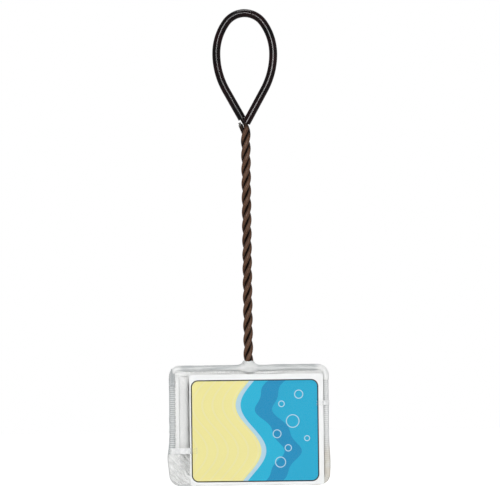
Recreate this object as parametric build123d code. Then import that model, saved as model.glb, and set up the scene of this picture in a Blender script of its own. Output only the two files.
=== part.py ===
# Aquarium fish net: a twisted wire frame with a sleeved hand loop and a fine mesh bag.
#
# One length of vinyl-coated steel wire makes the whole frame. It starts at a cut end at the top of
# the shaft, runs down as one of three twisted strands, goes round the rectangular hoop, climbs the
# shaft again, makes the hand loop inside a vinyl sleeve and runs down as the third strand to its
# other cut end. Four folded tapes carry the bag on the hoop, and a printed card is taped in front.
#
# Frame: millimetres, +Z up along the shaft, -Y towards the front of the net, and the origin where
# a hook bears, inside the top of the hand loop.

from build123d import *
import math
import os

# Wire and twisted shaft
wire_diameter = 2.8
core_diameter = 1.7
bare_core_length = 1.4
strand_gap = 0.12
twist_length = 146.5
whole_turns = 5
part_turn_degrees = 147.5
spans_per_turn = 4
cut_end_rise = 5.9
cut_end_splay = 2.4
cut_end_forward = 1.2

# Hand loop
sleeve_wall = 1.12
sleeve_clearance = 0.08
loop_width = 36.2
loop_length = 70.9
loop_widest_below_apex = 25.8
loop_shoulder = 3.6
leg_straight = 25.1
leg_gap = 0.2
right_sleeve_end = 1.0
sleeve_end_step = 3.3
bare_leg = 0.4
twist_below_crossing = 3.0

# Hoop
hoop_width = 97.9
hoop_height = 72.9
hoop_corner_radius = 5.0
foot_drop = 5.3
foot_reach = 7.5

# Hem tapes on the hoop
hem_wall = 0.35
hem_clearance = 0.1
hem_flange_width = 2.5
hem_flange_thickness = 0.8
hem_flange_corner = 1.0
neck_beyond_bend = 3.5
neck_wall = 0.95
neck_rise = 0.9
neck_end_radius = 0.5
neck_clearance = 0.25

# Stitches along the hem tapes
stitch_pitch = 2.8
stitch_length = 1.9
stitch_width = 0.4
stitch_height = 0.3
stitch_clearance = 0.15
stitch_corner_gap = 10.0

# Bag
bag_edge_margin = 1.05
bag_wall = 0.8
bag_depth = 56.0
bag_shoulder_depth = 9.0
bag_shoulder_side_draw = 6.4
bag_shoulder_height_draw = 2.5
bag_side_taper = 8.0
bag_height_taper = 9.5
bag_sag = 7.0
bag_mouth_corner = 6.0
bag_back_fillet = 17.0
bag_back_flat = 3.0
seam_inset = 14.0
seam_width = 2.0
seam_height = 0.8
seam_start = 1.55

# Card and the two strips of tape that hold it
card_left_inset = 11.2
card_right_inset = 1.65
card_top_inset = 3.9
card_bottom_overlap = 1.3
card_thickness = 0.4
card_corner_radius = 1.5
card_clearance = 0.3
tape_thickness = 0.15
tape_clearance = 0.2
tape_landing = 4.5
left_tape_width = 3.8
left_tape_below_hoop = 52.2
right_tape_width = 3.0
right_tape_below_hoop = 22.7

# Sizes that follow from those above
wire_radius = wire_diameter / 2
sleeve_radius = wire_radius + sleeve_clearance + sleeve_wall
hem_radius = wire_radius + hem_clearance + hem_wall
hem_flange = hem_radius + hem_flange_width
flange_back = hem_flange_thickness / 2
bag_inset = hem_flange - bag_edge_margin - bag_wall
left_sleeve_end = right_sleeve_end + sleeve_end_step
leg_offset = (sleeve_radius + wire_radius + leg_gap) / 2
apex_height = sleeve_radius
crossing_height = apex_height - loop_length
twist_top = crossing_height - twist_below_crossing
twist_foot = twist_top - twist_length
hoop_top = twist_foot - foot_drop
hoop_centre = hoop_top - hoop_height / 2

# The part turn brings each strand round to the side of the hoop that it runs to.
twist_lay = twist_length / (whole_turns + part_turn_degrees / 360)

# Three helices touch where their lay turns them towards each other, so the lay widens the twist.
straight_twist_radius = (wire_diameter + strand_gap) / math.sqrt(3)
lay_slope = (2 * math.pi * straight_twist_radius / twist_lay) ** 2
twist_radius = straight_twist_radius / math.sqrt(1 - lay_slope / (4 - 2 * lay_slope))
shaft_radius = twist_radius + wire_radius
neck_radius = shaft_radius + neck_clearance + neck_wall

# Where each strand stands at the top of the twist, as an angle about the shaft from +X
LEFT_LEG_STRAND = math.radians(42)
RIGHT_LEG_STRAND = math.radians(-78)
CUT_END_STRAND = math.radians(162)


def strand_point(strand, height):
    """A point of a strand's centreline."""
    angle = strand + 2 * math.pi * (height - twist_top) / twist_lay
    return Vector(twist_radius * math.cos(angle), twist_radius * math.sin(angle), height)


def strand_heading(strand, height):
    """The upward direction of a strand."""
    angle = strand + 2 * math.pi * (height - twist_top) / twist_lay
    slope = 2 * math.pi * twist_radius / twist_lay
    return Vector(-slope * math.sin(angle), slope * math.cos(angle), 1).normalized()


def biarc(start, start_heading, end, end_heading):
    """Two tangent arcs that leave one point and reach another in given directions."""
    across = end - start
    headings = start_heading + end_heading
    bend = 2 * (1 - start_heading.dot(end_heading))
    along = across.dot(headings)
    reach = (math.sqrt(along * along + bend * across.dot(across)) - along) / bend
    first = start + start_heading * reach
    second = end - end_heading * reach
    middle = (first + second) / 2
    return [
        Edge.make_tangent_arc(start, start_heading, middle),
        Edge.make_tangent_arc(middle, second - first, end),
    ]


def strand_edges(strand, start_height, end_height):
    """A strand of the shaft as arcs, a quarter turn or less to each pair."""
    count = math.ceil(abs(end_height - start_height) / twist_lay * spans_per_turn)
    step = (end_height - start_height) / count
    way = 1 if step > 0 else -1
    edges = []
    for i in range(count):
        low = start_height + i * step
        high = low + step
        edges += biarc(
            strand_point(strand, low),
            strand_heading(strand, low) * way,
            strand_point(strand, high),
            strand_heading(strand, high) * way,
        )
    return edges


def loop_stations(leg_end):
    """One side of the loop from its apex down, as points and headings (x, z, heading x, heading z)."""
    half_width = loop_width / 2
    apex_radius = half_width - loop_shoulder
    shoulder = 2 * math.atan2(loop_shoulder, loop_widest_below_apex - apex_radius)
    lean = 2 * math.atan2(half_width, loop_length - loop_widest_below_apex + leg_straight)
    leg_heading = (-math.sin(lean), -math.cos(lean))
    return [
        (0, 0, 1, 0),
        (
            apex_radius * math.cos(shoulder),
            apex_radius * (math.sin(shoulder) - 1),
            math.sin(shoulder),
            -math.cos(shoulder),
        ),
        (half_width, -loop_widest_below_apex, 0, -1),
        (leg_straight * math.sin(lean), leg_straight * math.cos(lean) - loop_length, *leg_heading),
        (leg_end * math.sin(lean), leg_end * math.cos(lean) - loop_length, *leg_heading),
    ]


def loop_placed(side, x, z):
    """Tilt one side of the loop about its apex, so that the right leg passes in front of the left."""
    tilt = math.asin(leg_offset / loop_length)
    return Vector(side * x, side * z * math.sin(tilt), z * math.cos(tilt))


def loop_side(side, leg_end):
    """Points and headings down one side of the loop, -1 for the left and 1 for the right."""
    apex = Vector(0, 0, apex_height)
    places = []
    for x, z, heading_x, heading_z in loop_stations(leg_end):
        places.append((apex + loop_placed(side, x, z), loop_placed(side, heading_x, heading_z)))
    return places


def loop_edges(left_end, right_end):
    """The loop's centreline from the left leg, over the apex and down the right leg."""
    left = loop_side(-1, left_end)
    right = loop_side(1, right_end)
    edges = [Edge.make_line(left[4][0], left[3][0])]
    for lower, upper in ((3, 2), (2, 1), (1, 0)):
        edges.append(Edge.make_tangent_arc(left[lower][0], left[lower][1] * -1, left[upper][0]))
    for upper, lower in ((0, 1), (1, 2), (2, 3)):
        edges.append(Edge.make_tangent_arc(right[upper][0], right[upper][1], right[lower][0]))
    edges.append(Edge.make_line(right[3][0], right[4][0]))
    return edges


def hoop_edges():
    """The hoop's centreline from the right of the shaft, clockwise to the left of the shaft."""
    half = hoop_width / 2
    corner = hoop_corner_radius
    hoop_bottom = hoop_top - hoop_height
    points = [
        Vector(foot_reach, 0, hoop_top),
        Vector(half - corner, 0, hoop_top),
        Vector(half, 0, hoop_top - corner),
        Vector(half, 0, hoop_bottom + corner),
        Vector(half - corner, 0, hoop_bottom),
        Vector(corner - half, 0, hoop_bottom),
        Vector(-half, 0, hoop_bottom + corner),
        Vector(-half, 0, hoop_top - corner),
        Vector(corner - half, 0, hoop_top),
        Vector(-foot_reach, 0, hoop_top),
    ]
    edges = []
    for i in range(0, len(points) - 2, 2):
        edges.append(Edge.make_line(points[i], points[i + 1]))
        heading = points[i + 1] - points[i]
        edges.append(Edge.make_tangent_arc(points[i + 1], heading, points[i + 2]))
    edges.append(Edge.make_line(points[-2], points[-1]))
    return edges


def foot_bend(strand, side):
    """The bend from a strand's foot to the hoop's top bar, -1 for its left half and 1 for its right."""
    return biarc(
        strand_point(strand, twist_foot),
        strand_heading(strand, twist_foot) * -1,
        Vector(side * foot_reach, 0, hoop_top),
        Vector(side, 0, 0),
    )


def wire_edges():
    """The whole wire's centreline, from its cut end at the top of the shaft to that at its foot."""
    splay_start = twist_top - cut_end_rise / 2
    splay_point = strand_point(CUT_END_STRAND, splay_start)
    splay_heading = strand_heading(CUT_END_STRAND, splay_start)
    outward = Vector(-cut_end_splay, -cut_end_forward, cut_end_rise)
    cut_end = splay_point + outward
    splay = Edge.make_tangent_arc(splay_point, splay_heading, cut_end)
    splay = Edge.make_tangent_arc(cut_end, splay.tangent_at(1) * -1, splay_point)
    edges = [splay]
    edges += strand_edges(CUT_END_STRAND, splay_start, twist_foot)
    edges += foot_bend(CUT_END_STRAND, 1)
    edges += hoop_edges()
    edges += biarc(
        Vector(-foot_reach, 0, hoop_top),
        Vector(1, 0, 0),
        strand_point(LEFT_LEG_STRAND, twist_foot),
        strand_heading(LEFT_LEG_STRAND, twist_foot),
    )
    edges += strand_edges(LEFT_LEG_STRAND, twist_foot, twist_top)
    left_start = left_sleeve_end - bare_leg
    right_start = right_sleeve_end - bare_leg
    left_leg, left_heading = loop_side(-1, left_start)[-1]
    right_leg, right_heading = loop_side(1, right_start)[-1]
    edges += biarc(
        strand_point(LEFT_LEG_STRAND, twist_top),
        strand_heading(LEFT_LEG_STRAND, twist_top),
        left_leg,
        left_heading * -1,
    )
    edges += loop_edges(left_start, right_start)
    edges += biarc(
        right_leg,
        right_heading,
        strand_point(RIGHT_LEG_STRAND, twist_top),
        strand_heading(RIGHT_LEG_STRAND, twist_top) * -1,
    )
    edges += strand_edges(RIGHT_LEG_STRAND, twist_top, twist_foot)
    return edges


def make_frame_wire():
    """The coated wire in one piece, with its bare steel core standing out of both cut ends."""
    edges = wire_edges()
    path = Wire(edges)
    start, start_heading = edges[0] @ 0, edges[0] % 0
    end, end_heading = edges[-1] @ 1, edges[-1] % 1
    wire = sweep(Plane(start, z_dir=start_heading) * Circle(wire_radius), path)
    for place, outward in ((start, start_heading * -1), (end, end_heading)):
        core = Plane(place, z_dir=outward) * Circle(core_diameter / 2)
        wire += extrude(core, bare_core_length)
    return wire


def make_grip_sleeve():
    """The vinyl tube over the hand loop."""
    edges = loop_edges(left_sleeve_end, right_sleeve_end)
    start = Plane(edges[0] @ 0, z_dir=edges[0] % 0)
    ring = Circle(sleeve_radius) - Circle(wire_radius + sleeve_clearance)
    return sweep(start * ring, Wire(edges))


def hoop_plane(height=hoop_centre):
    """The plane of the hoop, seen from the front, with its origin on the shaft's axis."""
    return Plane((0, 0, height), x_dir=(1, 0, 0), z_dir=(0, -1, 0))


def hoop_tube(radius):
    """A round bar that follows the whole hoop."""
    path = (hoop_plane() * RectangleRounded(hoop_width, hoop_height, hoop_corner_radius)).wire()
    return sweep(Plane(path @ 0, z_dir=path % 0) * Circle(radius), path)


def make_neck():
    """The gathered cloth where the shaft goes into the top hem."""
    axis_height = hoop_top + neck_rise
    end = foot_reach + neck_beyond_bend
    crown = ThreePointArc((-end, neck_end_radius), (0, neck_radius), (end, neck_end_radius))
    outline = Polyline((end, neck_end_radius), (end, 0), (-end, 0), (-end, neck_end_radius))
    section = hoop_plane(axis_height) * make_face([*crown.edges(), *outline.edges()])
    neck = revolve(section, Axis((0, 0, axis_height), (1, 0, 0)))
    below_hem = Plane((0, 0, hoop_top - hem_radius)) * Rectangle(2 * end, 4 * neck_radius)
    return neck - extrude(below_hem, -2 * neck_radius)


def mitre_wedge(first, second):
    """A block that holds one side of the hoop, between the mitres at two of its corners."""
    reach = hem_flange + neck_rise + neck_radius
    points = []
    for (x, y), outward in ((first, reach), (second, reach), (second, -reach), (first, -reach)):
        points.append((x * (hoop_width / 2 + outward), y * (hoop_height / 2 + outward)))
    plan = hoop_plane() * make_face(Polyline(*points, close=True).edges())
    return extrude(plan, reach, both=True)


def make_hems():
    """The four hem tapes, mitred at the hoop's corners, with a bore for the wire."""
    flange = RectangleRounded(hoop_width, hoop_height, hoop_corner_radius)
    flange -= RectangleRounded(
        hoop_width - 2 * hem_flange, hoop_height - 2 * hem_flange, hem_flange_corner
    )
    ring = hoop_tube(hem_radius) + extrude(hoop_plane() * flange, flange_back, both=True)
    ring += make_neck()
    ring -= hoop_tube(wire_radius + hem_clearance)
    shaft_hole = Plane((0, 0, hoop_top)) * Circle(shaft_radius + neck_clearance)
    ring -= extrude(shaft_hole, neck_rise + neck_radius)
    for bend in (foot_bend(CUT_END_STRAND, 1), foot_bend(LEFT_LEG_STRAND, -1)):
        start = Plane(bend[0] @ 0, z_dir=bend[0] % 0)
        ring -= sweep(start * Circle(wire_radius + neck_clearance), Wire(bend))
    return {
        "hem_top": ring & mitre_wedge((-1, 1), (1, 1)),
        "hem_left": ring & mitre_wedge((-1, -1), (-1, 1)),
        "hem_bottom": ring & mitre_wedge((1, -1), (-1, -1)),
        "hem_right": ring & mitre_wedge((1, 1), (1, -1)),
    }


def make_stitches():
    """A row of stitches on the front of each hem tape."""
    inset = hem_radius + stitch_clearance + stitch_width / 2
    across = hoop_width / 2 - inset
    up = hoop_height / 2 - inset
    sides = {
        "stitching_top": (Vector(0, up), Vector(1, 0), hoop_width),
        "stitching_left": (Vector(-across, 0), Vector(0, 1), hoop_height),
        "stitching_bottom": (Vector(0, -up), Vector(1, 0), hoop_width),
        "stitching_right": (Vector(across, 0), Vector(0, 1), hoop_height),
    }
    front = Plane((0, -flange_back, hoop_centre), x_dir=(1, 0, 0), z_dir=(0, -1, 0))
    rows = {}
    for name, (middle, way, length) in sides.items():
        count = int((length - 2 * stitch_corner_gap) / stitch_pitch)
        turn = 90 if way.Y else 0
        stitches = []
        for i in range(count):
            place = middle + way * (stitch_pitch * (i - (count - 1) / 2))
            flat = Pos(place.X, place.Y) * Rot(0, 0, turn) * Rectangle(stitch_length, stitch_width)
            stitches.append(extrude(front * flat, stitch_height))
        rows[name] = Compound(children=stitches)
    return rows


def pouch_ring(outside, depth, side_draw, height_draw, corner):
    """A section of the bag some way behind the hems, drawn in from the mouth at its sides and in height."""
    width = hoop_width - 2 * (bag_inset + side_draw - outside)
    height = hoop_height - 2 * (bag_inset + height_draw - outside)
    sag = bag_sag * depth / bag_depth
    level = hoop_plane(hoop_centre - sag).offset(-flange_back - depth)
    return level * RectangleRounded(width, height, corner + outside)


def make_pouch(outside):
    """The bag as a full block whose walls stand off by the given distance.

    Gathers draw the cloth in behind the hems, so the bag has a shoulder there.
    """
    back_height = hoop_height - 2 * (bag_inset + bag_height_taper)
    fillet_radius = min(bag_back_fillet, back_height / 2 - bag_back_flat)
    back_corner = fillet_radius + bag_back_flat / 2
    widening = (back_corner - bag_mouth_corner) * bag_shoulder_depth / bag_depth
    rings = [
        pouch_ring(outside, 0, 0, 0, bag_mouth_corner),
        pouch_ring(
            outside,
            bag_shoulder_depth,
            bag_shoulder_side_draw,
            bag_shoulder_height_draw,
            bag_mouth_corner + widening,
        ),
        pouch_ring(outside, bag_depth + outside, bag_side_taper, bag_height_taper, back_corner),
    ]
    block = loft(rings, ruled=True)
    rear = block.faces().sort_by(Axis.Y)[-1]
    return fillet(rear.edges(), fillet_radius + outside)


def beyond_seam(side, shift):
    """A block that holds all of the bag outside one seam, moved outward by a shift."""
    mouth_seam = hoop_width / 2 - bag_inset - seam_inset + shift
    back_seam = mouth_seam - bag_side_taper
    lead = bag_depth
    lean = bag_side_taper / bag_depth
    corners = [
        (side * (mouth_seam + lean * lead), flange_back - lead),
        (side * (back_seam - lean * lead), flange_back + bag_depth + lead),
        (side * hoop_width, flange_back + bag_depth + lead),
        (side * hoop_width, flange_back - lead),
    ]
    plan = Plane((0, 0, hoop_centre)) * make_face(Polyline(*corners, close=True).edges())
    return extrude(plan, hoop_height, both=True)


def make_bag():
    """The bag's main panel and two gussets, with the overlocked seams between them."""
    outer = make_pouch(0)
    inner = make_pouch(-bag_wall)
    shell = outer - inner
    ridge = make_pouch(seam_height) - outer
    behind_hem = Plane((0, hem_radius + seam_start, hoop_centre), z_dir=(0, 1, 0))
    ridge &= extrude(behind_hem * Rectangle(2 * hoop_width, 2 * hoop_width), 2 * bag_depth)
    left = beyond_seam(-1, 0)
    right = beyond_seam(1, 0)
    pieces = {
        "bag_main_panel": shell - left - right,
        "bag_left_gusset": shell & left,
        "bag_right_gusset": shell & right,
    }
    for name, side in (("seam_left", -1), ("seam_right", 1)):
        band = beyond_seam(side, -seam_width / 2) - beyond_seam(side, seam_width / 2)
        pieces[name] = ridge & band
    return pieces


def card_edges():
    """The card's left and right edges across and its top and bottom edges in height."""
    half = hoop_width / 2
    return (
        card_left_inset - half,
        half - card_right_inset,
        hoop_top - card_top_inset,
        hoop_top - hoop_height - card_bottom_overlap,
    )


def make_card():
    """The printed card, just in front of the hems."""
    left, right, top, bottom = card_edges()
    back = Plane(
        ((left + right) / 2, -hem_radius - card_clearance, (top + bottom) / 2),
        x_dir=(1, 0, 0),
        z_dir=(0, -1, 0),
    )
    return extrude(back * RectangleRounded(right - left, top - bottom, card_corner_radius), card_thickness)


def make_tape(side, width, below_hoop):
    """A strip of tape from the outside of a side hem, over its front and onto the card."""
    left, right, _, _ = card_edges()
    edge = right if side > 0 else left
    tube = side * hoop_width / 2
    front = -hem_radius - card_clearance - card_thickness
    near = hem_radius + tape_clearance
    far = near + tape_thickness
    slant = math.sqrt(0.5)
    inner = ThreePointArc(
        (tube + side * near, 0), (tube + side * near * slant, -near * slant), (tube, -near)
    )
    outer = ThreePointArc(
        (tube, -far), (tube + side * far * slant, -far * slant), (tube + side * far, 0)
    )
    landing = edge - side * tape_landing
    run = Polyline(
        (tube, -near),
        (edge, front),
        (landing, front),
        (landing, front - tape_thickness),
        (edge, front - tape_thickness),
        (tube, -far),
    )
    end = Line((tube + side * far, 0), (tube + side * near, 0))
    outline = [*inner.edges(), *run.edges(), *outer.edges(), *end.edges()]
    level = Plane((0, 0, hoop_top - below_hoop))
    return extrude(level * make_face(outline), width / 2, both=True)


parts = {
    "frame_wire": make_frame_wire(),
    "grip_sleeve": make_grip_sleeve(),
    **make_hems(),
    **make_stitches(),
    **make_bag(),
    "insert_card": make_card(),
    "card_tape_left": make_tape(-1, left_tape_width, left_tape_below_hoop),
    "card_tape_right": make_tape(1, right_tape_width, right_tape_below_hoop),
}

os.makedirs("parts", exist_ok=True)
for name, shape in parts.items():
    export_step(shape, f"parts/{name}.step")
    print(name, round(shape.volume, 1), len(shape.solids()), shape.is_valid)
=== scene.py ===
"""Dresses the fish net's frame: mesh cloth, sewn hems, printed card, coated wire and a plain studio."""

import math

import bmesh
import bpy
from bpy.props import FloatProperty, FloatVectorProperty, PointerProperty
from bpy.types import Operator, Panel, PropertyGroup
from mathutils import Matrix, Vector, noise


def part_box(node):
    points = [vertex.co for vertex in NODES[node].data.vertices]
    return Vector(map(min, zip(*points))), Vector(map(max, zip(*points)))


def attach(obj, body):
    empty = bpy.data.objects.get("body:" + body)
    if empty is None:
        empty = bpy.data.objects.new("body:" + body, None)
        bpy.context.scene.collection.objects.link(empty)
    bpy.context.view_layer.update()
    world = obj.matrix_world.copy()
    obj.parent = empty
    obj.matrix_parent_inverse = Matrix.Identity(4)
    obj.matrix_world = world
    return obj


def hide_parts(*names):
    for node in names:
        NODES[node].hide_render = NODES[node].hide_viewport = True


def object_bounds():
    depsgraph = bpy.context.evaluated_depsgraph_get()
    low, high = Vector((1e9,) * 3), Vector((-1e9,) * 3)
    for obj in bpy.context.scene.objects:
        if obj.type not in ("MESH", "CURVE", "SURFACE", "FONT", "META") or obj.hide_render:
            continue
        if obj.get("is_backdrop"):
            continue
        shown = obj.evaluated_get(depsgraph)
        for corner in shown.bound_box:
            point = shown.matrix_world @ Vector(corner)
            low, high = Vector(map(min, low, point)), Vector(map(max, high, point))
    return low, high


bl_info = {
    "name": "Aquarium Fish Net",
    "version": (1, 0, 0),
    "blender": (4, 5, 0),
    "location": "View3D > Sidebar > Fish Net",
    "description": "Dresses an aquarium fish net with mesh cloth, sewn hems, a printed card and finishes",
    "category": "Object",
}

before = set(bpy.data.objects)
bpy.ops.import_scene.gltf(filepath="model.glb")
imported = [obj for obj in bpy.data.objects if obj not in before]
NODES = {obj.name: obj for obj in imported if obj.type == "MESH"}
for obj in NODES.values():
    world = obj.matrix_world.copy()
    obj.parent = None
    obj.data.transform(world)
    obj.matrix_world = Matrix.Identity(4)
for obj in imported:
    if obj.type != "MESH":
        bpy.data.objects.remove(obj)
CAD_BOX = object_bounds()
MM = 0.001

# The hoop's wire, from the hems that follow it
HEM_RADIUS = (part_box("hem_left")[1].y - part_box("hem_left")[0].y) / 2
HOOP_HALF = -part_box("hem_left")[0].x - HEM_RADIUS
HOOP_HEIGHT = 72.9 * MM
HOOP_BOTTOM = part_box("hem_bottom")[0].z + HEM_RADIUS
HOOP_TOP = HOOP_BOTTOM + HOOP_HEIGHT
HOOP_MIDDLE = HOOP_TOP - HOOP_HEIGHT / 2
HOOP_CORNER = 5.0 * MM
HEM_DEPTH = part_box("hem_left")[1].x + HOOP_HALF
FLANGE_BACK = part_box("bag_main_panel")[0].y
SHAFT_RADIUS = 3.11 * MM

# The bag's mouth, from its panels, and its form behind that
BAG_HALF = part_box("bag_right_gusset")[1].x
BAG_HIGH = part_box("bag_main_panel")[1].z
BAG_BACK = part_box("bag_main_panel")[1].y
BAG_DEPTH = BAG_BACK - FLANGE_BACK
BAG_SHOULDER = 9 * MM
BAG_EDGE = 16 * MM
BAG_SAG = 7 * MM
MAIN_FLAT = (72 * MM, 158 * MM)
GUSSET_FLAT = (66 * MM, 76 * MM)

# The card's print: how soft its edges are, and its bubbles' places and radii in millimetres
INK_EDGE = 0.1 * MM
BUBBLES = [
    (16, 12, 3.2),
    (21, 21, 2.0),
    (14, 30, 2.5),
    (24, 38, 4.0),
    (17, 49, 1.8),
    (28, 55, 2.6),
    (33, 27, 1.6),
]


class FishNetWireSettings(PropertyGroup):
    """Finish of the wire and of the sleeve over its hand loop."""

    coat_color: FloatVectorProperty(
        name="Coat",
        description="Vinyl coat of the wire",
        subtype="COLOR",
        size=4,
        min=0,
        max=1,
        default=(0.078, 0.037, 0.021, 1),
    )
    coat_faded: FloatVectorProperty(
        name="Faded Coat",
        description="Coat where it has faded and rubbed",
        subtype="COLOR",
        size=4,
        min=0,
        max=1,
        default=(0.135, 0.074, 0.046, 1),
    )
    # Painted shade: the dark colour for the grooves between the strands and for the painted shadow near the
    # crossing.
    groove_shade_color: FloatVectorProperty(
        name="Groove",
        description="Dark coat in the grooves between the strands",
        subtype="COLOR",
        size=4,
        min=0,
        max=1,
        default=(0.008, 0.0045, 0.003, 1),
    )
    steel_color: FloatVectorProperty(
        name="Steel",
        description="Bare steel at the wire's cut ends",
        subtype="COLOR",
        size=4,
        min=0,
        max=1,
        default=(0.17, 0.165, 0.155, 1),
    )
    sleeve_color: FloatVectorProperty(
        name="Sleeve",
        description="Black vinyl of the sleeve",
        subtype="COLOR",
        size=4,
        min=0,
        max=1,
        default=(0.0012, 0.001, 0.0012, 1),
    )
    sleeve_tint: FloatVectorProperty(
        name="Sleeve Tint",
        description="Warm tint in the sleeve's vinyl",
        subtype="COLOR",
        size=4,
        min=0,
        max=1,
        default=(0.011, 0.0032, 0.0038, 1),
    )
    sleeve_roughness: FloatProperty(
        name="Sleeve Roughness",
        description="Roughness of the sleeve where it is cleanest",
        subtype="FACTOR",
        min=0.05,
        max=1,
        default=0.15,
    )


class FishNetClothSettings(PropertyGroup):
    """Cloth of the hems and the bag, and the thread that sews them."""

    hem_color: FloatVectorProperty(
        name="Hem",
        description="Ribs of the hem tape",
        subtype="COLOR",
        size=4,
        min=0,
        max=1,
        default=(0.80, 0.815, 0.81, 1),
    )
    hem_shade: FloatVectorProperty(
        name="Hem Shade",
        description="Hem tape between its ribs",
        subtype="COLOR",
        size=4,
        min=0,
        max=1,
        default=(0.455, 0.48, 0.49, 1),
    )
    # Warm tint in uneven blots, stronger towards the lower right of the hoop.
    tinge_color: FloatVectorProperty(
        name="Stain",
        description="Warm stain on the lower right hem",
        subtype="COLOR",
        size=4,
        min=0,
        max=1,
        default=(0.68, 0.61, 0.49, 1),
    )
    mesh_color: FloatVectorProperty(
        name="Mesh",
        description="Nylon mesh of the bag",
        subtype="COLOR",
        size=4,
        min=0,
        max=1,
        default=(0.945, 0.95, 0.94, 1),
    )
    thread_color: FloatVectorProperty(
        name="Thread",
        description="Nylon sewing thread",
        subtype="COLOR",
        size=4,
        min=0,
        max=1,
        default=(0.88, 0.88, 0.86, 1),
    )
    rib_pitch: FloatProperty(
        name="Rib Pitch",
        description="Distance from rib to rib along the hem tape",
        unit="LENGTH",
        min=0.4 * MM,
        max=4 * MM,
        default=1.3 * MM,
    )
    mesh_pitch: FloatProperty(
        name="Mesh Pitch",
        description="Distance from thread to thread in the mesh",
        unit="LENGTH",
        min=0.2 * MM,
        max=3 * MM,
        default=0.4 * MM,
    )
    tape_thickness: FloatProperty(
        name="Tape Thickness",
        description="Thickness of the hem tape",
        unit="LENGTH",
        min=0.1 * MM,
        max=1 * MM,
        default=0.28 * MM,
    )
    stitch_pitch: FloatProperty(
        name="Stitch Pitch",
        description="Distance from stitch to stitch",
        unit="LENGTH",
        min=1 * MM,
        max=6 * MM,
        default=2.8 * MM,
    )
    gather_depth: FloatProperty(
        name="Gathers",
        description="Depth of the bag's gathers behind the hems",
        unit="LENGTH",
        min=0,
        max=2 * MM,
        default=0.8 * MM,
    )
    drape_depth: FloatProperty(
        name="Drape",
        description="Depth of the bag's broad folds",
        unit="LENGTH",
        min=0,
        max=5 * MM,
        default=2.2 * MM,
    )


class FishNetCardSettings(PropertyGroup):
    """Printed card and the tape that holds it."""

    board_color: FloatVectorProperty(
        name="Board",
        description="White board of the card",
        subtype="COLOR",
        size=4,
        min=0,
        max=1,
        default=(0.93, 0.94, 0.94, 1),
    )
    sand_color: FloatVectorProperty(
        name="Sand",
        description="Pale yellow of the print",
        subtype="COLOR",
        size=4,
        min=0,
        max=1,
        default=(0.875, 0.805, 0.33, 1),
    )
    water_color: FloatVectorProperty(
        name="Water",
        description="Blue of the print",
        subtype="COLOR",
        size=4,
        min=0,
        max=1,
        default=(0.014, 0.45, 0.68, 1),
    )
    deep_color: FloatVectorProperty(
        name="Deep Water",
        description="Deep blue of the print",
        subtype="COLOR",
        size=4,
        min=0,
        max=1,
        default=(0.006, 0.27, 0.52, 1),
    )
    line_color: FloatVectorProperty(
        name="Line",
        description="Thin line round the printed panel",
        subtype="COLOR",
        size=4,
        min=0,
        max=1,
        default=(0.03, 0.03, 0.028, 1),
    )
    corner: FloatProperty(
        name="Panel Corner",
        description="Radius of the printed panel's corners",
        unit="LENGTH",
        min=0,
        max=20 * MM,
        default=4.2 * MM,
    )
    line_width: FloatProperty(
        name="Line Width",
        description="Width of the line round the printed panel",
        unit="LENGTH",
        min=0.1 * MM,
        max=2 * MM,
        default=0.75 * MM,
    )


class FishNetStageSettings(PropertyGroup):
    """Camera and light."""

    distance: FloatProperty(
        name="Camera Distance",
        description="From the camera to the card",
        unit="LENGTH",
        min=0.5,
        max=5,
        default=1.5,
    )
    field: FloatProperty(
        name="Field",
        description="Width of the picture at the card",
        unit="LENGTH",
        min=0.2,
        max=1,
        default=0.3175,
    )
    lean: FloatProperty(
        name="Lean",
        description="How far the net leans to the left in the picture",
        subtype="ANGLE",
        min=-0.2,
        max=0.2,
        default=0.012,
    )
    key_power: FloatProperty(
        name="Key Light",
        description="Power of the tall light in front",
        unit="POWER",
        min=0,
        max=100,
        default=6.2,
    )
    shine_power: FloatProperty(
        name="Shine",
        description="Power of each light that only glossy coats show",
        unit="POWER",
        min=0,
        max=200,
        default=20,
    )
    fill_power: FloatProperty(
        name="Fill Light",
        description="Power of the weak light on the right",
        unit="POWER",
        min=0,
        max=100,
        default=1.6,
    )
    back_power: FloatProperty(
        name="Back Light",
        description="Power of the soft light behind the bag",
        unit="POWER",
        min=0,
        max=100,
        default=5,
    )
    ambient: FloatProperty(
        name="Ambient",
        description="Strength of the light from all sides",
        subtype="FACTOR",
        min=0,
        max=2,
        default=0.42,
    )
    floor_drop: FloatProperty(
        name="Floor Drop",
        description="From the bottom of the net to the floor",
        unit="LENGTH",
        min=0,
        max=1,
        default=0.12,
    )


# Geometry helpers


def rounded_place(half_width, half_height, corner, distance, outward=0.0):
    """A point clockwise round a rounded rectangle from the middle of its top, moved some way outward.

    Returns x, z and the outward direction, about the rectangle's own centre.
    """
    across, up, turn = half_width - corner, half_height - corner, corner * math.pi / 2
    runs = [(across, 0), (turn, 1), (2 * up, 0), (turn, 1), (2 * across, 0)]
    runs += [(turn, 1), (2 * up, 0), (turn, 1), (across, 0)]
    left = distance % sum(length for length, _ in runs)
    x, z, heading = 0.0, half_height, 0.0
    for length, bends in runs:
        step = min(left, length)
        if bends:
            x -= corner * math.sin(heading)
            z -= corner * math.cos(heading)
            heading += step / max(corner, 1e-9)
            x += corner * math.sin(heading)
            z += corner * math.cos(heading)
        else:
            x += step * math.cos(heading)
            z -= step * math.sin(heading)
        left -= length
        if left <= 0:
            break
    way = (math.sin(heading), math.cos(heading))
    return x + outward * way[0], z + outward * way[1], way


def rounded_length(half_width, half_height, corner):
    """The way round a rounded rectangle."""
    return 4 * (half_width + half_height - 2 * corner) + 2 * math.pi * corner


def hoop_place(distance, outward):
    """A point clockwise round the hoop's wire from the middle of its top."""
    x, z, way = rounded_place(HOOP_HALF, HOOP_HEIGHT / 2, HOOP_CORNER, distance, outward)
    return x, z + HOOP_MIDDLE, way


def smooth(value):
    """An even step from 0 to 1."""
    value = min(max(value, 0.0), 1.0)
    return value * value * (3 - 2 * value)


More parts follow.
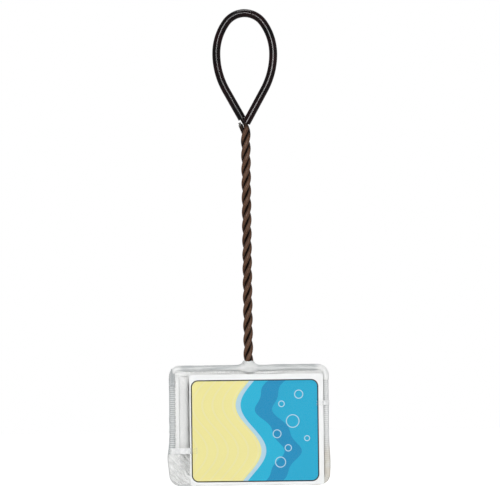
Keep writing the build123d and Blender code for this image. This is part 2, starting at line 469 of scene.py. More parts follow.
def bump(value, middle, width):
    """A round hump of height 1."""
    return math.exp(-(((value - middle) / width) ** 2))


def wander(along, around, seed):
    """A steady, uneven wave between about -1 and 1."""
    return noise.noise(Vector((along, around, seed)))


def sheet_mesh(name, rows, along, across, closed=False):
    """A mesh from rows of points, with a UV map in metres from the two lists of distances."""
    columns = len(rows[0])
    points = [point for row in rows for point in row]
    faces, corners = [], []
    for r in range(len(rows) - 1):
        for c in range(columns if closed else columns - 1):
            n = (c + 1) % columns
            faces.append((r * columns + c, r * columns + n, (r + 1) * columns + n, (r + 1) * columns + c))
            corners += [(across[c], along[r]), (across[c + 1], along[r])]
            corners += [(across[c + 1], along[r + 1]), (across[c], along[r + 1])]
    mesh = bpy.data.meshes.new(name)
    mesh.from_pydata(points, [], faces)
    layer = mesh.uv_layers.new(name="UVMap")
    for loop, uv in zip(layer.data, corners):
        loop.uv = uv
    mesh.shade_smooth()
    return mesh


def place_piece(name, mesh, material, slot, *stands_for, body="net"):
    """Put a mesh in the scene as a piece of the net that stands for some of the frame's nodes."""
    piece = bpy.data.objects.new(name, mesh)
    bpy.context.scene.collection.objects.link(piece)
    mesh.materials.append(material)
    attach(piece, body)
    if stands_for:
        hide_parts(*stands_for)
    return piece


def finish_node(node, material):
    """Give one of the frame's own nodes a finish."""
    piece = NODES[node]
    piece.data.materials.clear()
    piece.data.materials.append(material)


# Shading helpers


class NodeSketch:
    """Adds nodes to a tree and links them."""

    def __init__(self, tree):
        self.tree = tree

    def node(self, kind, **settings):
        """A new node with some of its settings."""
        item = self.tree.nodes.new(kind)
        for key, value in settings.items():
            setattr(item, key, value)
        return item

    def feed(self, socket, value):
        """Link a socket to another, or set it to a plain value."""
        if isinstance(value, bpy.types.NodeSocket):
            self.tree.links.new(value, socket)
        else:
            socket.default_value = value

    def math(self, operation, first, second=0.0):
        """A sum, product or other operation on two values."""
        item = self.node("ShaderNodeMath", operation=operation)
        self.feed(item.inputs[0], first)
        self.feed(item.inputs[1], second)
        return item.outputs[0]

    def ramp(self, value, low, high, start=0.0, end=1.0):
        """A smooth step from one value to another between two limits."""
        item = self.node("ShaderNodeMapRange", interpolation_type="SMOOTHSTEP")
        for socket, number in zip(item.inputs, (value, low, high, start, end)):
            self.feed(socket, number)
        return item.outputs[0]

    def mix(self, factor, first, second):
        """A mix of two colours."""
        item = self.node("ShaderNodeMix", data_type="RGBA")
        self.feed(item.inputs[0], factor)
        self.feed(item.inputs[6], first)
        self.feed(item.inputs[7], second)
        return item.outputs[2]

    def split(self, vector):
        """The three parts of a vector."""
        item = self.node("ShaderNodeSeparateXYZ")
        self.feed(item.inputs[0], vector)
        return item.outputs

    def bump(self, height, distance):
        """A normal from a height."""
        item = self.node("ShaderNodeBump")
        item.inputs["Distance"].default_value = distance
        self.feed(item.inputs["Height"], height)
        return item.outputs[0]

    def group(self, tree, **values):
        """A shared effect with its own values."""
        item = self.node("ShaderNodeGroup", node_tree=tree)
        for key, value in values.items():
            self.feed(item.inputs[key.replace("_", " ").title()], value)
        return item.outputs


def shared_effect(name, inputs, outputs):
    """A new node group with named float or vector inputs and float outputs, or the one already made."""
    made = bpy.data.node_groups.get(name)
    if made:
        return made, None, None, None
    tree = bpy.data.node_groups.new(name, "ShaderNodeTree")
    for label, kind, default in inputs:
        socket = tree.interface.new_socket(label, in_out="INPUT", socket_type=kind)
        if default is not None:
            socket.default_value = default
    for label in outputs:
        tree.interface.new_socket(label, in_out="OUTPUT", socket_type="NodeSocketFloat")
    sketch = NodeSketch(tree)
    return tree, sketch, sketch.node("NodeGroupInput").outputs, sketch.node("NodeGroupOutput").inputs


def fine_grain():
    """Uneven tone: a noise of a given grain size between two values."""
    inputs = [("Place", "NodeSocketVector", None), ("Grain Size", "NodeSocketFloat", MM)]
    inputs += [("Low", "NodeSocketFloat", 0.0), ("High", "NodeSocketFloat", 1.0)]
    tree, sketch, given, result = shared_effect("Fine Grain", inputs, ["Tone"])
    if sketch:
        speckle = sketch.node("ShaderNodeTexNoise")
        speckle.inputs["Detail"].default_value = 3.0
        sketch.feed(speckle.inputs["Vector"], given["Place"])
        sketch.feed(speckle.inputs["Scale"], sketch.math("DIVIDE", 1.0, given["Grain Size"]))
        tone = sketch.ramp(speckle.outputs[0], 0.3, 0.7, given["Low"], given["High"])
        sketch.feed(result["Tone"], tone)
    return tree


def woven_mesh():
    """Plain weave of single threads: how much thread covers a place, and how high it stands."""
    inputs = [("Place", "NodeSocketVector", None), ("Pitch", "NodeSocketFloat", MM)]
    tree, sketch, given, result = shared_effect("Woven Mesh", inputs, ["Cover", "Height"])
    if sketch:
        place = sketch.split(given["Place"])
        waves = []
        for axis in (0, 1):
            turns = sketch.math("DIVIDE", place[axis], given["Pitch"])
            waves.append(sketch.math("SINE", sketch.math("MULTIPLY", turns, 2 * math.pi)))
        warp = sketch.ramp(waves[0], -0.5, 0.5)
        weft = sketch.ramp(waves[1], -0.5, 0.5)
        sketch.feed(result["Cover"], sketch.math("MAXIMUM", warp, weft))
        over = sketch.math("MULTIPLY", waves[0], waves[1])
        sketch.feed(result["Height"], sketch.math("ADD", over, sketch.math("ADD", warp, weft)))
    return tree


def cross_ribs():
    """Ribs across a tape, one to each pitch along it."""
    inputs = [("Along", "NodeSocketFloat", 0.0), ("Pitch", "NodeSocketFloat", MM)]
    tree, sketch, given, result = shared_effect("Cross Ribs", inputs, ["Rib"])
    if sketch:
        turns = sketch.math("DIVIDE", given["Along"], given["Pitch"])
        wave = sketch.math("SINE", sketch.math("MULTIPLY", turns, 2 * math.pi))
        sketch.feed(result["Rib"], sketch.ramp(wave, -0.8, 0.8))
    return tree


def printed_ring():
    """A printed dot or ring, as a mask."""
    inputs = [("Across", "NodeSocketFloat", 0.0), ("Up", "NodeSocketFloat", 0.0)]
    inputs += [("Middle Across", "NodeSocketFloat", 0.0), ("Middle Up", "NodeSocketFloat", 0.0)]
    inputs += [("Radius", "NodeSocketFloat", MM), ("Width", "NodeSocketFloat", MM)]
    tree, sketch, given, result = shared_effect("Printed Ring", inputs, ["Mask"])
    if sketch:
        across = sketch.math("SUBTRACT", given["Across"], given["Middle Across"])
        up = sketch.math("SUBTRACT", given["Up"], given["Middle Up"])
        squares = sketch.math("ADD", sketch.math("POWER", across, 2.0), sketch.math("POWER", up, 2.0))
        far = sketch.math("SQRT", squares)
        off = sketch.math("ABSOLUTE", sketch.math("SUBTRACT", far, given["Radius"]))
        edge = sketch.math("SUBTRACT", off, sketch.math("MULTIPLY", given["Width"], 0.5))
        sketch.feed(result["Mask"], sketch.ramp(edge, -INK_EDGE, INK_EDGE, 1.0, 0.0))
    return tree


def new_finish(name, **plain):
    """A material with a Principled BSDF, its plain values, and a sketch of its nodes."""
    material = bpy.data.materials.new(name)
    material.use_nodes = True
    shader = material.node_tree.nodes["Principled BSDF"]
    for key, value in plain.items():
        shader.inputs[key.replace("_", " ")].default_value = value
    return material, shader.inputs, NodeSketch(material.node_tree)


def object_place(sketch):
    """Coordinates in metres that stay with the piece."""
    return sketch.node("ShaderNodeTexCoord").outputs["Object"]


def uv_place(sketch):
    """Distances along and across the cloth, in metres."""
    return sketch.node("ShaderNodeTexCoord").outputs["UV"]


# Finishes


def cut_end():
    """The tip of the wire's cut end beside the top of the shaft."""
    points = [vertex.co for vertex in NODES["frame_wire"].data.vertices]
    sleeve_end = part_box("grip_sleeve")[0].z
    near = [point for point in points if abs(point.z - sleeve_end) < 4 * MM]
    return min(near, key=lambda point: point.x)


def coated_wire_finish(wire):
    """Brown vinyl, faded in patches, with painted shade in its grooves and painted shadow at the crossing,
    and bare steel at the cut end.
    """
    material, shader, sketch = new_finish("coated_wire", Specular_IOR_Level=0.05)
    place = object_place(sketch)
    across, deep, up = sketch.split(place)
    patches = sketch.group(fine_grain(), place=place, grain_size=6 * MM)["Tone"]
    streaks = sketch.group(fine_grain(), place=place, grain_size=0.7 * MM, high=0.35)["Tone"]
    faded = sketch.math("ADD", sketch.math("MULTIPLY", patches, 0.6), streaks)
    coat = sketch.mix(sketch.math("MINIMUM", faded, 1.0), wire.coat_color, wire.coat_faded)
    # Painted shade: the coat darkens towards the shaft's axis, deep in the grooves between the strands.
    squares = sketch.math("ADD", sketch.math("POWER", across, 2.0), sketch.math("POWER", deep, 2.0))
    from_axis = sketch.math("SQRT", squares)
    coat = sketch.mix(sketch.ramp(from_axis, 1.75 * MM, 2.95 * MM), wire.groove_shade_color, coat)
    # Painted shadow: the strand behind darkens near the crossing, and all of the wire darkens just below
    # the sleeve's end.
    near_crossing = sketch.ramp(up, -92 * MM, -76 * MM)
    behind = sketch.math("MULTIPLY", sketch.ramp(deep, -1.9 * MM, -0.7 * MM), near_crossing)
    shadow_below_sleeve = sketch.ramp(up, -71.5 * MM, -68.5 * MM)
    painted_shade = sketch.math("MAXIMUM", behind, shadow_below_sleeve)
    coat = sketch.mix(sketch.math("MULTIPLY", painted_shade, 0.9), coat, wire.groove_shade_color)
    away = sketch.node("ShaderNodeVectorMath", operation="DISTANCE")
    sketch.feed(away.inputs[0], place)
    away.inputs[1].default_value = cut_end()
    bare = sketch.ramp(away.outputs["Value"], 2.3 * MM, 2.6 * MM, 1.0, 0.0)
    sketch.feed(shader["Base Color"], sketch.mix(bare, coat, wire.steel_color))
    wear_and_edge_shade = sketch.group(fine_grain(), place=place, grain_size=2.5 * MM, low=0.3, high=0.48)["Tone"]
    sketch.feed(shader["Roughness"], wear_and_edge_shade)
    skin = sketch.group(fine_grain(), place=place, grain_size=0.4 * MM)["Tone"]
    sketch.feed(shader["Normal"], sketch.bump(skin, 0.02 * MM))
    return material


def sleeve_finish(wire):
    """Glossy black vinyl with a warm tint and a slightly uneven skin."""
    material, shader, sketch = new_finish("sleeve_vinyl", Specular_IOR_Level=0.06)
    place = object_place(sketch)
    tint = sketch.group(fine_grain(), place=place, grain_size=9 * MM)["Tone"]
    sketch.feed(shader["Base Color"], sketch.mix(tint, wire.sleeve_color, wire.sleeve_tint))
    clean = wire.sleeve_roughness
    rub = sketch.group(fine_grain(), place=place, grain_size=3 * MM, low=clean, high=clean + 0.05)["Tone"]
    sketch.feed(shader["Roughness"], rub)
    skin = sketch.group(fine_grain(), place=place, grain_size=2.2 * MM)["Tone"]
    sketch.feed(shader["Normal"], sketch.bump(skin, 0.003 * MM))
    return material


def hem_finish(cloth, name, width, ribs, bleach, spans=(), tinge=0.0):
    """Mesh tape: ribs round the wire, long folds and the outer fold edge with painted shade, and pale cloth
    at its sewn edges.

    It shows a share of ribs, the rest being folds. It is bleached by a share all over, and along spans of
    its length, given as limits of distance and the least share of grey. A warm tint may cover part of its
    lower end, stronger towards the lower right.
    """
    material, shader, sketch = new_finish(name, Sheen_Weight=0.15, Specular_IOR_Level=0.08, Roughness=0.8)
    place = uv_place(sketch)
    across, along, _ = sketch.split(place)
    from_fold = sketch.math("ABSOLUTE", sketch.math("SUBTRACT", across, width / 2))
    on_wire = sketch.ramp(from_fold, 4.5 * MM, 5.4 * MM, 1.0 - bleach, 0.0)
    for near, far, least in spans:
        here = sketch.ramp(sketch.math("ABSOLUTE", along), near, far, least, 1.0)
        on_wire = sketch.math("MULTIPLY", on_wire, here)
    rib = sketch.group(cross_ribs(), along=along, pitch=cloth.rib_pitch)["Rib"]
    weave = sketch.group(woven_mesh(), place=place, pitch=cloth.mesh_pitch)
    # Painted shade of long folds: streaks along the tape between the hem's shade and its own colour, with
    # painted shade between the ribs.
    stretched = sketch.node("ShaderNodeCombineXYZ")
    sketch.feed(stretched.inputs[0], across)
    sketch.feed(stretched.inputs[1], sketch.math("MULTIPLY", along, 0.09))
    fold = sketch.group(fine_grain(), place=stretched.outputs[0], grain_size=1.6 * MM)["Tone"]
    folded = sketch.math("MULTIPLY", fold, 1 - ribs)
    ribbed = sketch.math("ADD", sketch.math("MULTIPLY", rib, ribs), folded)
    # Painted shade: darker along the tape's outer fold edge, where it turns away from the light.
    wear_and_edge_shade = sketch.ramp(from_fold, 0.5 * MM, 1.7 * MM, 0.3, 1.0)
    cover = sketch.math("MULTIPLY", wear_and_edge_shade, sketch.ramp(weave["Cover"], 0.0, 1.0, 0.75, 1.0))
    tape = sketch.mix(sketch.math("MULTIPLY", ribbed, cover), cloth.hem_shade, cloth.hem_color)
    pale = sketch.mix(cover, cloth.hem_color, cloth.mesh_color)
    color = sketch.mix(on_wire, pale, tape)
    # A warm tint in uneven blots, stronger towards the lower right of the hoop.
    if tinge:
        here = object_place(sketch)
        faint = 0.3 * tinge
        blot = sketch.group(fine_grain(), place=here, grain_size=9 * MM, low=faint, high=tinge)["Tone"]
        side, _, up = sketch.split(here)
        low_end = sketch.ramp(up, HOOP_BOTTOM + 14 * MM, HOOP_BOTTOM + 32 * MM, 1.0, 0.0)
        lower_right = sketch.math("MULTIPLY", low_end, sketch.ramp(side, -25 * MM, 25 * MM))
        color = sketch.mix(sketch.math("MULTIPLY", blot, lower_right), color, cloth.tinge_color)
    sketch.feed(shader["Base Color"], color)
    raised = sketch.math("MULTIPLY", sketch.math("MULTIPLY", rib, 2.0 * ribs), on_wire)
    height = sketch.math("ADD", raised, sketch.math("MULTIPLY", weave["Height"], 0.3))
    sketch.feed(shader["Normal"], sketch.bump(height, 0.06 * MM))
    return material


def mesh_finish(cloth):
    """Fine woven nylon that lets some light through between its threads."""
    material, shader, sketch = new_finish(
        "bag_mesh", Sheen_Weight=0.2, Specular_IOR_Level=0.08, Roughness=0.75
    )
    weave = sketch.group(woven_mesh(), place=uv_place(sketch), pitch=cloth.mesh_pitch)
    soil = sketch.group(fine_grain(), place=object_place(sketch), grain_size=14 * MM, low=0.75)["Tone"]
    dark = [0.9 * value for value in cloth.mesh_color[:3]] + [1]
    sketch.feed(shader["Base Color"], sketch.mix(soil, dark, cloth.mesh_color))
    sketch.feed(shader["Alpha"], sketch.ramp(weave["Cover"], 0.0, 1.0, 0.84, 1.0))
    sketch.feed(shader["Normal"], sketch.bump(weave["Height"], 0.022 * MM))
    return material


def thread_finish(cloth, name, pitch):
    """Nylon thread with its twist, or its turns round a seam, to a pitch."""
    material, shader, sketch = new_finish(name, Sheen_Weight=0.1, Specular_IOR_Level=0.2, Roughness=0.5)
    place = uv_place(sketch)
    parts = sketch.split(place)
    slant = sketch.math("ADD", parts[1], sketch.math("MULTIPLY", parts[0], 0.8))
    twist = sketch.group(cross_ribs(), along=slant, pitch=pitch)["Rib"]
    shade = [0.7 * value for value in cloth.thread_color[:3]] + [1]
    sketch.feed(shader["Base Color"], sketch.mix(twist, shade, cloth.thread_color))
    sketch.feed(shader["Normal"], sketch.bump(twist, 0.06 * MM))
    return material


def card_finish(card):
    """White board with a printed panel of sand, waves and bubbles on its front."""
    material, shader, sketch = new_finish(
        "card_stock", Coat_Weight=0.05, Coat_Roughness=0.1, Roughness=0.55, Specular_IOR_Level=0.05
    )
    coords = sketch.node("ShaderNodeTexCoord")
    place = coords.outputs["Object"]
    across, _, up = sketch.split(place)
    low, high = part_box("insert_card")
    left, right = low.x + 1.3 * MM, high.x - 3.5 * MM
    bottom, top = low.z + 2.3 * MM, high.z - 3.8 * MM
    color = printed_shore(sketch, card, across, up, (left + right) / 2, bottom)
    dots = sketch.group(fine_grain(), place=place, grain_size=0.5 * MM, low=0.0, high=0.03)["Tone"]
    color = sketch.mix(dots, color, card.board_color)
    inside = panel_distance(sketch, across, up, (left, right, bottom, top), card.corner)
    color = sketch.mix(sketch.ramp(inside, -INK_EDGE, INK_EDGE), color, card.board_color)
    line = sketch.math("SUBTRACT", sketch.math("ABSOLUTE", inside), card.line_width / 2)
    color = sketch.mix(sketch.ramp(line, -INK_EDGE, INK_EDGE, 1.0, 0.0), color, card.line_color)
    facing = sketch.split(coords.outputs["Normal"])[1]
    color = sketch.mix(sketch.ramp(facing, -0.6, -0.5), color, card.board_color)
    sketch.feed(shader["Base Color"], color)
    fibre = sketch.group(fine_grain(), place=place, grain_size=1.2 * MM)["Tone"]
    sketch.feed(shader["Normal"], sketch.bump(fibre, 0.015 * MM))
    return material


def even_wave(sketch, place, length):
    """A sine wave of a given length along a place."""
    return sketch.math("SINE", sketch.math("MULTIPLY", place, 2 * math.pi / length))


def printed_shore(sketch, card, across, up, middle, bottom):
    """The print: rippled sand on the left, a shore in a wave, two blues of water and plain bubbles."""
    foam = [0.5 * value + 0.45 for value in card.water_color[:3]] + [1]
    pale = [0.75 * value + 0.2 for value in card.sand_color[:3]] + [1]
    bend = sketch.math("MULTIPLY", even_wave(sketch, up, 58 * MM), 8 * MM)
    shore = sketch.math("ADD", bend, middle - 1 * MM)
    offshore = sketch.math("SUBTRACT", across, shore)
    ripple = even_wave(sketch, offshore, 6.5 * MM)
    sand = sketch.mix(sketch.ramp(ripple, 0.75, 0.85, 0.0, 0.5), card.sand_color, pale)
    color = sketch.mix(sketch.ramp(offshore, -3.2 * MM, -3.0 * MM), sand, foam)
    color = sketch.mix(sketch.ramp(offshore, -INK_EDGE, INK_EDGE), color, card.water_color)
    swell = sketch.math("MULTIPLY", even_wave(sketch, up, 17 * MM), 1.6 * MM)
    reach = sketch.math("ADD", offshore, swell)
    color = sketch.mix(sketch.ramp(reach, 9.9 * MM, 10.1 * MM), color, card.deep_color)
    color = sketch.mix(sketch.ramp(reach, 20.9 * MM, 21.1 * MM, 0.0, 0.75), color, card.water_color)
    for over, rise, radius in BUBBLES:
        ring = sketch.group(
            printed_ring(),
            across=across,
            up=up,
            middle_across=middle + over * MM,
            middle_up=bottom + rise * MM,
            radius=radius * MM,
            width=0.55 * MM,
        )["Mask"]
        color = sketch.mix(ring, color, foam)
    return color


def panel_distance(sketch, across, up, sides, corner):
    """The distance from a place to the outline of a rounded panel, negative inside it."""
    left, right, bottom, top = sides
    offs = []
    for value, low, high in ((across, left, right), (up, bottom, top)):
        off = sketch.math("ABSOLUTE", sketch.math("SUBTRACT", value, (low + high) / 2))
        offs.append(sketch.math("SUBTRACT", off, (high - low) / 2 - corner))
    beyond = [sketch.math("POWER", sketch.math("MAXIMUM", off, 0.0), 2.0) for off in offs]
    outside = sketch.math("SQRT", sketch.math("ADD", *beyond))
    within = sketch.math("MINIMUM", sketch.math("MAXIMUM", *offs), 0.0)
    return sketch.math("SUBTRACT", sketch.math("ADD", outside, within), corner)


def film_finish():
    """Clear tape: milky over the rough cloth, nearly clear where it lies flat on the card."""
    material, shader, sketch = new_finish("clear_tape", Specular_IOR_Level=0.06)
    place = object_place(sketch)
    low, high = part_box("insert_card")
    middle, half = (low.x + high.x) / 2, (high.x - low.x) / 2
    across = sketch.split(place)[0]
    off_middle = sketch.math("ABSOLUTE", sketch.math("SUBTRACT", across, middle))
    beyond = sketch.math("SUBTRACT", off_middle, half)
    dull = sketch.group(fine_grain(), place=place, grain_size=2 * MM, low=0.72, high=0.92)["Tone"]
    off_card = sketch.ramp(beyond, -0.8 * MM, 0.4 * MM, 0.1, 1.0)
    sketch.feed(shader["Alpha"], sketch.math("MULTIPLY", dull, off_card))
    clear = (0.88, 0.89, 0.89, 1)
    milky = (0.96, 0.97, 0.97, 1)
    sketch.feed(shader["Base Color"], sketch.mix(dull, clear, milky))
    gloss = sketch.group(fine_grain(), place=place, grain_size=1.5 * MM, low=0.2, high=0.4)["Tone"]
    sketch.feed(shader["Roughness"], gloss)
    sketch.feed(shader["Normal"], sketch.bump(dull, 0.04 * MM))
    return material


# Hem tapes


def corner_slack(x, z):
    """How far loose cloth stands out of the hoop near its lower corners."""
    rise, spread, depth = (16 * MM, 9 * MM, 1.2 * MM) if x < 0 else (11 * MM, 11 * MM, 0.8 * MM)
    near_side = smooth((abs(x) - HOOP_HALF + 10 * MM) / (8 * MM))
    return depth * bump(z, HOOP_BOTTOM + rise, spread) * near_side


def neck_rise(distance):
    """How far the cloth is gathered up round the shaft, from 0 to 1."""
    reach = 7.5 * MM
    return math.cos(math.pi * distance / (2 * reach)) ** 2 if abs(distance) < reach else 0.0


def hem_section():
    """The folded tape's section, from its inner edge in front, round the wire, to its inner edge behind.

    Each point has its way outward from the wire, its depth, and 1 on the wire or 0 where it is sewn flat.
    """
    flat_count, round_count = 6, 24
    edge_gap, wire_gap = 0.22 * MM, 0.5 * MM
    flat_end = 2.0 * MM
    section = []
    for i in range(flat_count):
        share = i / flat_count
        outward = -HEM_DEPTH + share * (HEM_DEPTH - flat_end)
        section.append((outward, -edge_gap - share * (wire_gap - edge_gap), 0.0))
    radius = HEM_RADIUS - 0.2 * MM
    opening = math.radians(18)
    for i in range(round_count + 1):
        angle = opening + 2 * (math.pi - opening) * i / round_count
        section.append((-radius * math.cos(angle), -radius * math.sin(angle), 1.0))
    return section + [(n, -y, on_wire) for n, y, on_wire in section[flat_count - 1 :: -1]]


def hem_fold(distance, i, around, seed):
    """How far the tape's small and broad folds stand out at a place."""
    small = 0.13 * MM * wander(distance / (4 * MM), i * 0.22, seed)
    return small + 0.2 * MM * wander(distance / (13 * MM), around * 2, seed + 5)


def top_fold(distance, i, around, gathered, seed):
    """How far the top tape's long folds, and its gathers round the shaft, stand out at a place."""
    drift = 1.6 * wander(distance / (21 * MM), 0.0, seed + 3)
    long_fold = 0.2 * MM * math.sin(9 * math.pi * around + 4 * drift) * (1 - gathered)
    return long_fold + 0.22 * MM * gathered * wander(distance / (1.4 * MM), i * 0.1, seed + 9)


def hem_row(distance, section, cloth, top, seed):
    """One row of points across a hem tape, at a distance round the hoop."""
    rib = 0.07 * MM * math.sin(2 * math.pi * distance / cloth.rib_pitch)
    pinch = 0.16 * MM * math.cos(2 * math.pi * distance / cloth.stitch_pitch)
    deepest = -0.09 * MM
    gathered = neck_rise(distance) if top else 0.0
    loose = 0.12 * smooth((distance + 20 * MM) / (40 * MM)) if top else 0.0
    row = []
    for i, (n, y, on_wire) in enumerate(section):
        far = math.hypot(n, y)
        around = i / len(section)
        fold = hem_fold(distance, i, around, seed)
        fold += top_fold(distance, i, around, gathered, seed) if top else rib * on_wire
        fold = max(fold, deepest) if on_wire else fold
        pucker = pinch * (1 - on_wire)
        swell = 1 + (gathered * 1.3 + loose) * on_wire
        outward = n * swell + gathered * 0.6 * MM * on_wire + fold * n / far * on_wire
        depth = y * swell + fold * (y / far if on_wire else 1) + math.copysign(pucker, y)
        x, z, way = hoop_place(distance, outward)
        slack = corner_slack(x, z) * smooth((outward + HEM_RADIUS) / (2 * HEM_RADIUS))
        row.append(Vector((x + slack * way[0], depth, z + slack * way[1])))
    return row


def lengths(points):
    """The way along a line of points, from its start to each of them."""
    total, result = 0.0, [0.0]
    for first, second in zip(points, points[1:]):
        total += (second - first).length
        result.append(total)
    return result


def open_for_shaft(mesh):
    """Open the gathered cloth round the shaft, with a short collar."""
    rim, low = SHAFT_RADIUS + 0.35 * MM, HOOP_TOP + 1.2 * MM
    shape = bmesh.new()
    shape.from_mesh(mesh)
    moved = set()
    for vertex in shape.verts:
        out = Vector((vertex.co.x, vertex.co.y))
        if vertex.co.z > low and out.length < rim:
            out = out.normalized() * rim if out.length > 1e-6 else Vector((rim, 0))
            lift = HOOP_TOP + 4.5 * MM + 0.35 * MM * wander(out.x / MM, out.y / MM, 3.0)
            vertex.co = (out.x, out.y, max(vertex.co.z, lift))
            moved.add(vertex)
    inner = [face for face in shape.faces if all(vertex in moved for vertex in face.verts)]
    bmesh.ops.delete(shape, geom=inner, context="FACES")
    shape.to_mesh(mesh)
    shape.free()


class FISHNET_OT_fold_hems(Operator):
    """Fold the four hem tapes round the hoop"""

    bl_idname = "fish_net.fold_hems"
    bl_label = "Fold Hem Tapes"

    def execute(self, context):
        """Make each tape as a folded strip, with a loose tip at the left one's upper end."""
        cloth = context.scene.fish_net_cloth
        section = hem_section()
        width = lengths([Vector((n, y, 0)) for n, y, _ in section])[-1]
        across, up = HOOP_HALF - HOOP_CORNER, HOOP_HEIGHT / 2 - HOOP_CORNER
        pale_spans = [(3.5 * MM, 7 * MM, 0.5), (across + 2 * MM, across - 3 * MM, 0.08)]
        finishes = {
            "top": hem_finish(cloth, "hem_top_tape", width, 0.0, 0.1, pale_spans),
            "left": hem_finish(cloth, "hem_left_tape", width, 0.8, 0.0),
            "right": hem_finish(cloth, "hem_right_tape", width, 0.6, 0.4, tinge=0.75),
        }
        finishes["bottom"] = finishes["right"]
        turn = HOOP_CORNER * math.pi / 2
        whole = rounded_length(HOOP_HALF, HOOP_HEIGHT / 2, HOOP_CORNER)
        lower_right = across + 1.5 * turn + 2 * up
        tapes = {
            "top": (-across - turn - 3 * MM, across + turn + 3 * MM),
            "right": (across + 0.7 * turn, lower_right),
            "bottom": (lower_right, whole - lower_right),
            "left": (whole - lower_right, whole - across - 0.7 * turn),
        }
        row_step = 0.3 * MM
        for seed, (side, (start, end)) in enumerate(tapes.items()):
            count = round((end - start) / row_step)
            steps = [start + (end - start) * i / count for i in range(count + 1)]
            top = side == "top"
            rows = [hem_row(step, section, cloth, top, 2.0 * seed) for step in steps]
            girth = lengths(rows[len(rows) // 3])
            name = f"hem_{side}_tape"
            mesh = sheet_mesh(name, rows, steps, girth)
            if top:
                open_for_shaft(mesh)
            if side == "left":
                join_tip(mesh, width)
            piece = place_piece(name, mesh, finishes[side], "hem_tape", f"hem_{side}")
            thicken(piece, cloth.tape_thickness)
        return {"FINISHED"}


def outline_height(outline, side):
    """The height of an outline of straight pieces at a place along it."""
    for (before, low), (after, high) in zip(outline, outline[1:]):
        if side <= after:
            return low + (high - low) * (side - before) / (after - before)
    return outline[-1][1]


def join_tip(mesh, width):
    """Add the loose tip of the left tape: a strip with two torn points in front of the corner."""
    foot = HOOP_TOP - 10.5 * MM
    half_width = 1.65 * MM
    count_up, count_half = 14, 12
    torn_edge = [(-1.0, 6.6), (-0.55, 10.9), (-0.3, 10.3), (0.25, 6.2), (0.7, 8.0), (1.0, 6.0)]
    sides = [j / count_half - 1 for j in range(2 * count_half + 1)]
    tops = [outline_height(torn_edge, side) * MM for side in sides]
    rows = []
    for i in range(count_up + 1):
        row = []
        for side, top in zip(sides, tops):
            up = top * i / count_up
            x = -HOOP_HALF + 0.1 * MM + side * half_width + 0.06 * up
            forward = HEM_RADIUS + 0.1 * MM + 0.05 * up + 0.25 * MM * (1 - side * side)
            row.append(Vector((x, -forward, foot + up)))
        rows.append(row)
    across = [width / 2 - 1.7 * MM + distance for distance in lengths(rows[0])]
    along = [0.75 * MM * i for i in range(count_up + 1)]
    tip = sheet_mesh("tape_tip", rows, along, across)
    shape = bmesh.new()
    shape.from_mesh(mesh)
    shape.from_mesh(tip)
    shape.to_mesh(mesh)
    shape.free()
    bpy.data.meshes.remove(tip)
    mesh.shade_smooth()


def thicken(piece, thickness):
    """Give a sheet its real thickness."""
    solid = piece.modifiers.new("Thickness", "SOLIDIFY")
    solid.thickness = thickness
    solid.offset = 0.0


# Stitches


def stitch_mesh(middle, way, outward):
    """One stitch: a short arched thread whose ends go into the cloth."""
    length, radius = 2.0 * MM, 0.24 * MM
    count_along, count_round = 8, 8
    side = way.cross(outward)
    rows = []
    for i in range(count_along + 1):
        share = i / count_along
        arch = math.sin(math.pi * share)
        centre = middle + way * (length * (share - 0.5)) + outward * (radius * (1.1 * arch - 0.35))
        thick = radius * (0.55 + 0.45 * max(arch, 0.0) ** 0.5)
        row = []
        for j in range(count_round):
            angle = 2 * math.pi * j / count_round
            row.append(centre + (outward * math.cos(angle) + side * math.sin(angle)) * thick)
        rows.append(row)
    along = [0.25 * MM * i for i in range(count_along + 1)]
    around = [0.19 * MM * j for j in range(count_round + 1)]
    return sheet_mesh("stitch", rows, along, around, closed=True)


class FISHNET_OT_sew_hems(Operator):
    """Sew a row of stitches along each hem tape"""

    bl_idname = "fish_net.sew_hems"
    bl_label = "Sew Hems"

    def execute(self, context):
        """Lay the stitches on the tapes' front, beside the wire."""
        cloth = context.scene.fish_net_cloth
        finish = thread_finish(cloth, "nylon_thread", 0.5 * MM)
        whole = rounded_length(HOOP_HALF, HOOP_HEIGHT / 2, HOOP_CORNER)
        sides = {"top": 0.0, "right": whole / 4, "bottom": whole / 2, "left": 3 * whole / 4}
        outward = Vector((0, -1, 0))
        corner_gap = 7 * MM
        for side, middle in sides.items():
            half = (HOOP_HALF if side in ("top", "bottom") else HOOP_HEIGHT / 2) - corner_gap
            count = int(2 * half / cloth.stitch_pitch)
            shape = bmesh.new()
            for i in range(count):
                distance = middle + cloth.stitch_pitch * (i - (count - 1) / 2)
                x, z, way = hoop_place(distance, -HEM_RADIUS - 0.35 * MM)
                sway = 0.08 * MM * wander(i * 1.7, 0.0, middle / MM)
                place = Vector((x + way[0] * sway, -0.66 * MM, z + way[1] * sway))
                heading = Vector((way[1], 0, -way[0]))
                stitch = stitch_mesh(place, heading, outward)
                shape.from_mesh(stitch)
                bpy.data.meshes.remove(stitch)
            mesh = bpy.data.meshes.new(f"stitches_{side}")
            shape.to_mesh(mesh)
            shape.free()
            mesh.shade_smooth()
            place_piece(f"stitches_{side}", mesh, finish, "nylon_thread", f"stitching_{side}")
        return {"FINISHED"}


# Bag


def bag_wall(depth):
    """The bag's half width, half height, corner and drop at a depth behind the hems."""
    tall = BAG_HIGH - HOOP_MIDDLE
    drawn = 1 - (1 - min(depth / BAG_SHOULDER, 1)) ** 10
    slack = 1.9 * MM * smooth(depth / (1.4 * MM)) * (1 - smooth((depth - 5 * MM) / (15 * MM)))
    behind = max(depth - BAG_SHOULDER, 0) / (BAG_DEPTH - BAG_SHOULDER)
    half = BAG_HALF - 6.4 * MM * drawn - slack - 1.6 * MM * behind
    high = tall - 2.5 * MM * drawn - 7 * MM * behind
    corner = (6 + 12.5 * depth / BAG_DEPTH) * MM
    return half, high, corner, BAG_SAG * depth / BAG_DEPTH


